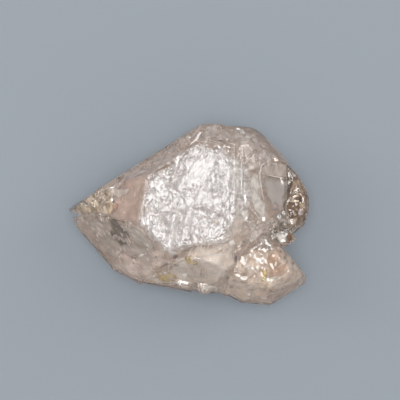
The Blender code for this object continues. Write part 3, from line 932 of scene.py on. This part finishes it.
def quartz_material():
    """Clear quartz: plain transmission, a fine bump, etched lines tinted dark as painted shade, and a warm
    absorption in its depth.
    """
    look = Look("clear_quartz")
    grain = {"Height": look.noise(GRAIN_SCALE, 3.0), "Strength": GRAIN_STRENGTH, "Distance": BUMP_HEIGHT}
    fine = look.add("ShaderNodeBump", "Normal", grain)
    lines = etched_lines(look)
    etched = {"Height": lines, "Strength": 1.0, "Distance": -BUMP_HEIGHT, "Normal": fine}
    # painted shade: the etched lines darken the light that passes through
    groove_shade = look.nodes.new("ShaderNodeMix")
    groove_shade.data_type = "RGBA"
    look.feed(groove_shade, {"Factor": lines, "A": (1.0, 1.0, 1.0, 1.0), "B": GROOVE_SHADE_TINT})
    look.feed(look.shader, {
        "Base Color": groove_shade.outputs["Result"],
        "Roughness": 0.03,
        "Transmission Weight": 1.0,
        "IOR": INDEX,
        "Normal": look.add("ShaderNodeBump", "Normal", etched),
    })
    absorbed = {"Color": ABSORPTION_COLOUR, "Density": ABSORPTION_DENSITY}
    depth = look.add("ShaderNodeVolumeAbsorption", "Volume", absorbed)
    look.feed(look.nodes["Material Output"], {"Volume": depth})
    return look.material


def etched_lines(look):
    """1 on the front plate's fine etched lines: two wavering nets of cells and worm-like lines."""
    place = look.add("ShaderNodeTexCoord", "Object", {})
    sway = {0: look.noise(WAVER_SCALE, 2.0, output="Color"), 1: (WAVER * MM, WAVER * MM, 0.0), 2: place}
    shaken = look.add("ShaderNodeVectorMath", "Vector", sway)
    shaken.node.operation = "MULTIPLY_ADD"
    worms = look.math("ABSOLUTE", look.math("SUBTRACT", look.noise(1.0, 1.0), 0.5))
    least = look.remap(worms, 0.0, WORM_WIDTH)
    for scale, ratio, width in ETCHED_NETS:
        squeezed = look.add("ShaderNodeVectorMath", "Vector", {0: shaken, 1: (1.0, ratio, 0.0)})
        squeezed.node.operation = "MULTIPLY"
        cells = look.nodes.new("ShaderNodeTexVoronoi")
        cells.feature = "DISTANCE_TO_EDGE"
        look.feed(cells, {"Vector": squeezed, "Scale": scale / MM})
        least = look.math("MINIMUM", least, look.remap(cells.outputs["Distance"], 0.0, width))
    etch = look.add("ShaderNodeAttribute", "Fac", {})
    etch.node.attribute_name = "etch"
    return look.math("MULTIPLY", look.math("SUBTRACT", 1.0, least), etch)


def veil_material(name, tones, scale, cover, stretch=None):
    """A cloudy sheet: patches of a few tones, thick and thin by a second noise."""
    look = Look(name)
    thick = look.remap(look.noise(scale * 1.6, 7.0, stretch), 0.38, 0.62, *cover, "LINEAR")
    fade = look.add("ShaderNodeAttribute", "Fac", {})
    fade.node.attribute_name = "fade"
    look.feed(look.shader, {
        "Base Color": look.tones(look.noise(scale, 5.0, stretch), tones, 0.36, 0.66),
        "Roughness": 0.6,
        "Specular IOR Level": 0.2,
        "Alpha": look.math("MULTIPLY", thick, fade),
    })
    return look.material


def mirror_material(name, colour, roughness, scale, detail, cover):
    """An open inner face that mirrors the light, thick and thin by a noise."""
    look = Look(name)
    look.feed(look.shader, {
        "Base Color": (*colour, 1.0),
        "Metallic": 1.0,
        "Roughness": roughness,
        "Alpha": look.remap(look.noise(scale, detail), *cover),
    })
    return look.material


def fleck_material(name, dark, light, roughness):
    """Small flakes and ribbons, each a little lighter or darker by where it lies."""
    look = Look(name)
    tone = look.tones(look.noise(FLECK_SCALE), (dark, light), 0.4, 0.6)
    look.feed(look.shader, {"Base Color": tone, "Roughness": roughness})
    return look.material


def floor_material():
    """Plain pale matt ground."""
    look = Look("pale_ground")
    look.feed(look.shader, {"Base Color": GROUND_COLOUR, "Roughness": 0.9})
    return look.material


# Stage, light and camera

def add_floor():
    mesh = bpy.data.meshes.new("ground")
    shape = bmesh.new()
    bmesh.ops.create_grid(shape, x_segments=1, y_segments=1, size=GROUND_HALF_SIZE)
    shape.to_mesh(mesh)
    shape.free()
    ground = bpy.data.objects.new("ground", mesh)
    ground.location.z = -GROUND_GAP
    ground.data.materials.append(floor_material())
    bpy.context.scene.collection.objects.link(ground)


def add_light(name, place, aim, size, radiance, colour):
    """A square soft light with a given brightness of its surface."""
    data = bpy.data.lights.new(name, "AREA")
    data.shape = "RECTANGLE"
    data.size, data.size_y = size
    data.energy = radiance * math.pi * size[0] * size[1]
    data.color = colour
    light = bpy.data.objects.new(name, data)
    light.location = place
    light.rotation_euler = (Vector(aim) - Vector(place)).to_track_quat("-Z", "Y").to_euler()
    bpy.context.scene.collection.objects.link(light)


def add_lights():
    middle = (VIEW_CENTRE[0] * MM, VIEW_CENTRE[1] * MM, MIDDLE_HEIGHT * MM)
    for name, place, size, radiance, colour in SOFTBOXES:
        add_light(name, place, middle, size, radiance, colour)
    cycles = bpy.context.scene.cycles
    cycles.max_bounces = 32
    cycles.transmission_bounces = 32
    cycles.diffuse_bounces = 8
    cycles.transparent_max_bounces = 32
    world = bpy.data.worlds.new("studio")
    world.use_nodes = True
    back = world.node_tree.nodes["Background"]
    back.inputs["Color"].default_value = ROOM_COLOUR
    back.inputs["Strength"].default_value = ROOM_BRIGHTNESS
    bpy.context.scene.world = world
    bpy.context.scene.view_settings.view_transform = "Standard"


def add_camera():
    data = bpy.data.cameras.new("camera")
    data.sensor_width = SENSOR
    data.lens = SENSOR * (CAMERA_HEIGHT - MIDDLE_HEIGHT) / FRAME_WIDTH
    data.clip_start = 0.01
    camera = bpy.data.objects.new("camera", data)
    camera.location = (VIEW_CENTRE[0] * MM, VIEW_CENTRE[1] * MM, CAMERA_HEIGHT * MM)
    bpy.context.scene.collection.objects.link(camera)
    bpy.context.scene.camera = camera


# What lies inside. Lengths and depths are in millimetres

CLOUDY = {                   # tones, patches per millimetre, least and most cover, streaks
    "veil_milk": ([(0.72, 0.62, 0.56), (0.88, 0.80, 0.74)], 0.16, (0.05, 0.4)),
    "veil_bed": ([(0.76, 0.66, 0.60), (0.90, 0.82, 0.76)], 0.2, (0.7, 1.0)),
    # milky veil, and partly painted highlight that lifts the plate's brightness
    "milk_shine": ([(0.74, 0.72, 0.73), (0.86, 0.85, 0.86)], 0.5, (0.35, 0.85)),
    "veil_rose": ([(0.50, 0.36, 0.31), (0.66, 0.51, 0.45)], 0.2, (0.6, 0.9)),
    "veil_band": ([(0.55, 0.46, 0.43), (0.80, 0.70, 0.67)], 0.5, (0.35, 0.8), (31, 3.0)),
    "veil_olive": ([(0.20, 0.15, 0.10), (0.48, 0.38, 0.28), (0.68, 0.57, 0.44)], 0.6, (0.8, 1.0)),
    "veil_ashen": ([(0.44, 0.38, 0.33), (0.70, 0.62, 0.57)], 0.35, (0.5, 0.9), (-55, 4.0)),
    "veil_moss": ([(0.13, 0.105, 0.08), (0.30, 0.25, 0.21)], 0.4, (0.75, 1.0), (-55, 2.0)),
    "veil_slate": ([(0.58, 0.53, 0.48), (0.68, 0.62, 0.57)], 0.2, (0.5, 0.8)),
    "veil_beige": ([(0.80, 0.64, 0.56), (0.92, 0.82, 0.75)], 0.25, (0.45, 0.85)),
    "veil_block": ([(0.58, 0.51, 0.46), (0.70, 0.62, 0.56)], 0.3, (0.6, 0.95)),
    "veil_haze": ([(0.64, 0.61, 0.60), (0.70, 0.67, 0.66)], 0.1, (0.5, 0.6)),
    "stain_russet": ([(0.48, 0.29, 0.21), (0.62, 0.42, 0.33)], 0.8, (0.6, 0.95)),
    "stain_ochre": ([(0.66, 0.46, 0.28), (0.84, 0.68, 0.48)], 0.8, (0.6, 0.95)),
    "stain_umber": ([(0.42, 0.29, 0.26), (0.60, 0.46, 0.42)], 0.8, (0.4, 0.8)),
    "veil_cloud": ([(0.78, 0.68, 0.60), (0.87, 0.79, 0.72)], 0.22, (0.6, 0.98)),
    "veil_dusk": ([(0.60, 0.53, 0.50), (0.80, 0.74, 0.71)], 0.3, (0.2, 0.7)),
    "veil_pale": ([(0.78, 0.77, 0.73), (0.84, 0.84, 0.81)], 0.4, (0.45, 0.8)),
    "veil_smoke": ([(0.06, 0.03, 0.02), (0.26, 0.17, 0.11), (0.50, 0.38, 0.26)], 0.5, (0.9, 1.0)),
    "veil_bark": ([(0.06, 0.03, 0.02), (0.22, 0.13, 0.08)], 0.6, (0.9, 1.0)),
    "veil_chestnut": ([(0.16, 0.09, 0.05), (0.28, 0.17, 0.11)], 0.4, (0.9, 1.0)),
    "veil_lilac": ([(0.52, 0.44, 0.44), (0.70, 0.61, 0.62)], 0.5, (0.7, 1.0)),
    "veil_sand": ([(0.54, 0.45, 0.40), (0.68, 0.59, 0.53)], 0.5, (0.7, 1.0)),
    "stain_violet": ([(0.40, 0.31, 0.30), (0.52, 0.42, 0.40)], 0.3, (0.5, 0.75)),
    "veil_tan": ([(0.72, 0.58, 0.47), (0.84, 0.73, 0.63)], 0.3, (0.5, 0.95)),
    "veil_amber": ([(0.52, 0.35, 0.25), (0.70, 0.51, 0.40)], 0.4, (0.7, 1.0)),
    "stain_coral": ([(0.50, 0.34, 0.26), (0.62, 0.45, 0.37)], 0.6, (0.5, 0.8)),
    "veil_white": ([(0.84, 0.80, 0.75), (0.95, 0.94, 0.90)], 0.8, (0.5, 0.95)),
    "veil_gold": ([(0.60, 0.48, 0.30), (0.84, 0.74, 0.54)], 0.9, (0.7, 1.0)),
    "stain_mustard": ([(0.50, 0.34, 0.08), (0.80, 0.64, 0.34)], 0.9, (0.75, 1.0)),
}
FLECKS = {                   # dark tone, light tone, roughness
    # painted highlights: bright white matt flakes and ribbons standing in for glints
    "glint_white": ((0.70, 0.66, 0.63), (0.90, 0.87, 0.84), 0.4),
    # painted highlight in a gold tone
    "glint_bar_gold": ((0.62, 0.46, 0.32), (0.90, 0.78, 0.62), 0.4),
    "streak_pale": ((0.62, 0.55, 0.50), (0.82, 0.76, 0.72), 0.5),
    # painted shade along ridges and facet edges
    "edge_shade": ((0.16, 0.12, 0.10), (0.34, 0.27, 0.23), 0.6),
    # painted highlights in a gold tone
    "glint_gold": ((0.60, 0.48, 0.34), (0.90, 0.80, 0.62), 0.35),
    "speck_rust": ((0.05, 0.02, 0.01), (0.16, 0.07, 0.03), 0.6),
}
CRACK_LOOK = ((0.95, 0.91, 0.88), 0.12, 0.5, 4.0, (0.35, 0.65, 0.15, 0.6, "LINEAR"))
GLINT_LOOK = ((0.34, 0.33, 0.32), 0.32, 1.6, 3.0, (0.3, 0.55))

UPPER_VEILS = [              # name, outline, depth, waviness, look, width of the soft edge
    # milky veil under the plate, partly painted highlight: its pale tone lifts the plate toward its
    # reflection's brightness
    ("veil_frost_1", PLATE, 2.5, 1.6, "milk_shine", 1.5),
    ("veil_rose_1", PINK_FACET, 2.0, 1.0, "veil_rose", 1.8),
    ("veil_band_1", UPPER_BAND, 1.4, 0.8, "veil_band", 0.8),
    ("veil_olive_1", LEFT_TIP, 0.9, 0.6, "veil_olive", 0.6),
    ("veil_ashen_1", LOWER_LEFT, 1.4, 0.8, "veil_ashen", 1.6),
]
MARKS = [                    # name, outline in the photograph, depth, look, width of the soft edge
    ("veil_moss_1", MOSS_HIGH, 0.7, "veil_moss", 0.4),
    ("veil_moss_2", MOSS_LOW, 0.7, "veil_moss", 0.5),
    ("veil_slate_1", SLATE_FACET, 0.9, "veil_slate", 0.7),
    ("veil_beige_1", BEIGE_LOW, 0.9, "veil_beige", 2.2),
    ("veil_block_1", TIP_BLOCK, 0.8, "veil_block", 0.5),
    ("veil_block_2", UPPER_BLOCK, 0.9, "veil_block", 0.4),
    ("stain_russet", RUSSET_SPOT, 0.6, "stain_russet", 0.7),
    ("stain_ochre", OCHRE_SPOT, 0.6, "stain_ochre", 0.5),
    ("stain_umber", UMBER_SPOT, 0.7, "stain_umber", 0.6),
    ("veil_bark_1", BROWN_COLUMN, 0.7, "veil_bark", 0.4),
    ("veil_bark_2", OLIVE_EDGE, 0.6, "veil_moss", 0.4),
    ("veil_chestnut_1", BROWN_SMOOTH, 0.6, "veil_chestnut", 0.3),
    ("veil_chestnut_2", CHESTNUT_LOW, 0.6, "veil_chestnut", 0.3),
    ("veil_lilac_1", LILAC_PATCH, 0.5, "veil_lilac", 0.3),
    ("veil_sand_1", BEIGE_RIGHT, 0.5, "veil_sand", 0.2),
    ("veil_gold_1", GOLD_PATCH, 0.5, "veil_gold", 0.2),
    ("stain_violet", VIOLET_SPOT, 1.2, "stain_violet", 1.0),
    ("veil_pale_2", PALE_LENS, 0.6, "veil_pale", 0.4),
    ("veil_pale_3", GREY_LENS, 0.8, "veil_pale", 0.6),
    ("veil_dusk_3", FLAT_GREY, 0.7, "veil_block", 0.6),
    ("veil_rose_2", PINK_BULGE, 0.6, "veil_rose", 0.8),
    ("stain_coral", CORAL_STRIP, 0.6, "stain_coral", 0.4),
    ("stain_olive", OLIVE_STAIN, 0.6, "stain_mustard", 0.5),
    ("veil_white_1", PALE_BAND, 0.5, "veil_white", 0.3),
    ("veil_white_2", PALE_GREEN, 0.4, "veil_white", 0.4),
    ("veil_beige_2", LOW_SLOPE, 0.7, "veil_beige", 1.4),
    ("veil_olive_2", TIP_FILL, 0.4, "veil_olive", 0.2),
    ("veil_haze_1", CLEAR_WINDOW, 3.0, "veil_haze", 0.6),
]
LOWER_VEILS = [              # as UPPER_VEILS
    ("veil_cloud_1", LOWER_BODY, 1.8, 1.2, "veil_cloud", 1.2),
    ("veil_dusk_1", TOP_BAND, 1.8, 1.2, "veil_dusk", 1.0),
    ("veil_pale_1", from_photo(GREEN_LENS), 1.2, 0.3, "veil_pale", 0.4),
    ("veil_smoke_1", BROWN_END, 1.2, 0.8, "veil_smoke", 0.5),
    ("veil_tan_1", LOWER_RIGHT, 1.8, 1.2, "veil_tan", 1.2),
    ("veil_amber_1", ORANGE, 1.2, 0.8, "veil_amber", 1.6),
    ("veil_dusk_2", RIGHT_MIDDLE, 1.8, 1.0, "veil_dusk", 1.5),
]
STAINS = [                   # name, outline, depth, waviness, width of the soft edge, fineness
    ("stain_speckled", STAIN_SPECKLED, 0.7, 0.2, 0.8, 0.2),
    ("stain_corner", STAIN_CORNER, 0.6, 0.1, 0.3, 0.2),
    ("stain_ground", STAIN_GROUND, 0.7, 0.2, 1.2, 0.25),
    ("stain_right", STAIN_RIGHT, 0.8, 0.3, 1.4, 0.25),
]
CRACKS = [                   # outline, number, sizes, depths, most lean in degrees
    (BODY, 120, (2.0, 7.0), (2.0, 12.0), 60),
    (LOWER_RIGHT, 60, (1.5, 4.5), (1.0, 5.0), 50),
    (RIGHT_MIDDLE, 50, (1.5, 4.5), (1.0, 5.0), 50),
    (LOWER_BODY, 50, (1.5, 4.5), (1.0, 5.0), 50),
    (UPPER_STRIP, 40, (1.0, 3.0), (0.6, 3.0), 50),
    (BROWN_END, 30, (1.0, 3.5), (0.6, 4.0), 60),
    (TOP_BAND, 30, (1.5, 4.0), (1.0, 5.0), 60),
]
# painted highlights: white matt flakes standing in for sparkles
WHITE_GLINT_FLAKES = [             # as CRACKS
    (TOP_BAND, 60, (0.2, 0.7), (0.4, 1.4), 50),
    (UPPER_BAND, 90, (0.2, 0.7), (0.4, 1.4), 50),
    (LEFT_TIP, 14, (0.2, 0.6), (0.3, 0.9), 50),
    (LOWER_BODY, 40, (0.2, 0.5), (0.4, 1.8), 50),
    (LOWER_RIGHT, 34, (0.2, 0.5), (0.3, 1.6), 50),
    (RIGHT_MIDDLE, 40, (0.2, 0.6), (0.3, 1.4), 50),
]
# painted highlights: gold-toned matt flakes standing in for sparkles
GOLD_GLINT_FLAKES = [              # as CRACKS
    (BROWN_END, 34, (0.2, 0.7), (0.3, 0.45), 40),
    (LEFT_TIP, 30, (0.2, 0.6), (0.3, 0.9), 40),
]
RUST_SPECKS = [              # as CRACKS
    (STAIN_SPECKLED, 22, (0.15, 0.4), (0.35, 0.6), 30),
    (STAIN_GROUND, 14, (0.15, 0.4), (0.35, 0.6), 30),
    (LEFT_TIP, 40, (0.15, 0.5), (0.4, 1.2), 30),
]
WISPS = [                    # outline, number, lengths, widths, depths, bearing and its spread
    (LOWER_LEFT, 80, (0.6, 1.9), (0.14, 0.45), (0.4, 1.2), -57, 18),
    (from_photo(DASHES), 22, (0.8, 1.8), (0.12, 0.25), (0.3, 0.5), 82, 8),
    (LOWER_BODY, 30, (0.8, 2.4), (0.10, 0.22), (0.4, 1.2), 84, 8),
    (LOWER_RIGHT, 20, (0.8, 2.4), (0.10, 0.25), (0.4, 1.2), 40, 60),
]


def drawn(lines):
    """Ribbon paths of lines that are given in pixels of the photograph."""
    return [(from_photo(path), width, LINE_DEPTH) for path, width in lines]


def fill_inside(skin):
    """All that is seen inside the clear crystal."""
    inside = Inside(skin)
    cloudy = {name: veil_material(name, *look) for name, look in CLOUDY.items()}
    fleck = {name: fleck_material(name, *look) for name, look in FLECKS.items()}
    crack = mirror_material("inner_crack", *CRACK_LOOK)
    glint = mirror_material("inner_glint", *GLINT_LOOK)

    add_veil("veil_milk_1", inside, BODY, 5.0, 2.5, cloudy["veil_milk"], 2.0, opening=WINDOW)
    bed = cloudy["veil_bed"]
    add_veil("veil_bed_1", inside, WHOLE, 1.4, 1.2, bed, 0.5, from_below=True, opening=WINDOW)
    for name, outline, depth, wave, look, feather in UPPER_VEILS:
        add_veil(name, inside, outline, depth, wave, cloudy[look], feather)
    for name, outline, depth, look, feather in MARKS:
        add_veil(name, inside, from_photo(outline), depth, MARK_WAVE, cloudy[look], feather, MARK_STEP)
    add_glints("glints_bright", inside, GLINTS, 0.5, glint)
    # painted shade along ridges and facet edges
    add_ribbons("lines_shade", inside, drawn(SHADE_LINES), fleck["edge_shade"])
    # painted highlights along edges, in the white glint tone
    add_ribbons("lines_highlight", inside, drawn(HIGHLIGHT_LINES), fleck["glint_white"])
    # painted gold glints
    add_glints("glint_bars_gold", inside, GOLD_GLINT_BARS, 0.35, fleck["glint_bar_gold"])
    # painted highlights: pale glints as white matt flakes
    add_glints("glints_pale", inside, PALE_GLINTS, 0.4, fleck["glint_white"])
    for name, outline, depth, wave, look, feather in LOWER_VEILS:
        add_veil(name, inside, outline, depth, wave, cloudy[look], feather)
    for name, outline, depth, wave, feather, step in STAINS:
        add_veil(name, inside, outline, depth, wave, cloudy["stain_mustard"], feather, step)
    add_cracks("inner_cracks", inside, CRACKS, crack)
    # painted sparkles, white and gold
    add_flakes("glints_white", inside, WHITE_GLINT_FLAKES, fleck["glint_white"])
    add_flakes("glints_gold", inside, GOLD_GLINT_FLAKES, fleck["glint_gold"])
    add_flakes("specks_rust", inside, RUST_SPECKS, fleck["speck_rust"])
    streaks = [path for spot in WISPS for path in wisps(*spot)]
    add_ribbons("streaks_white", inside, streaks, fleck["streak_pale"])


add_camera()
add_lights()
add_floor()
skin = build_skin()
fill_inside(skin)
